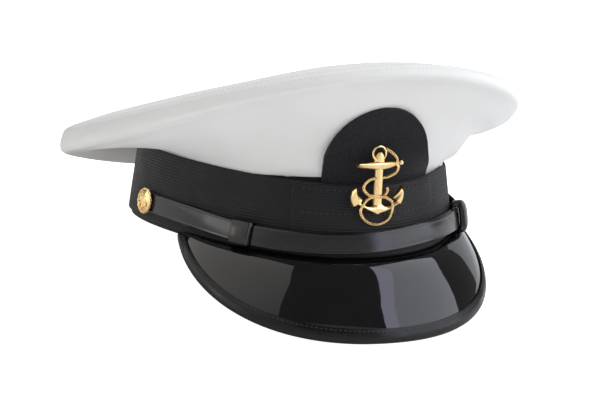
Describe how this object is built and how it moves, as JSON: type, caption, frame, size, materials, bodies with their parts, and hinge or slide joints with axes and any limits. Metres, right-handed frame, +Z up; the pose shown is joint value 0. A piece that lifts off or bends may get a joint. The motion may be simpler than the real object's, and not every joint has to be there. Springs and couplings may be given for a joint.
{
  "type": "peaked cap",
  "caption": "Peaked cap worn on the head: wide white soft crown, black ribbed band, glossy black peak, chin strap on gilt buttons and a gilt anchor badge, open underneath.",
  "frame": {"origin": "middle of the bounding box at the floor that the cap stands on", "axes": "+Z up from the floor, -Y the way the cap faces, +X the wearer's left"},
  "size_m": [0.246, 0.2734, 0.142],
  "materials": {
    "cotton": "white cotton twill, matt",
    "braid": "ribbed black braid",
    "bound_cloth": "black binding",
    "felt": "black felt, matt",
    "patent": "black patent, high gloss",
    "gilt": "polished gilt"
  },
  "bodies": {
    "root": {"crown_side": "cotton", "crown_top": "cotton", "band": "braid", "base_rim": "bound_cloth", "badge_patch": "felt", "anchor_badge": "gilt", "strap_right": "patent", "strap_left": "patent", "keeper_right": "patent", "keeper_left": "patent", "button_right": "gilt", "button_left": "gilt", "peak": "patent", "peak_binding": "patent"}
  },
  "joints": []
}
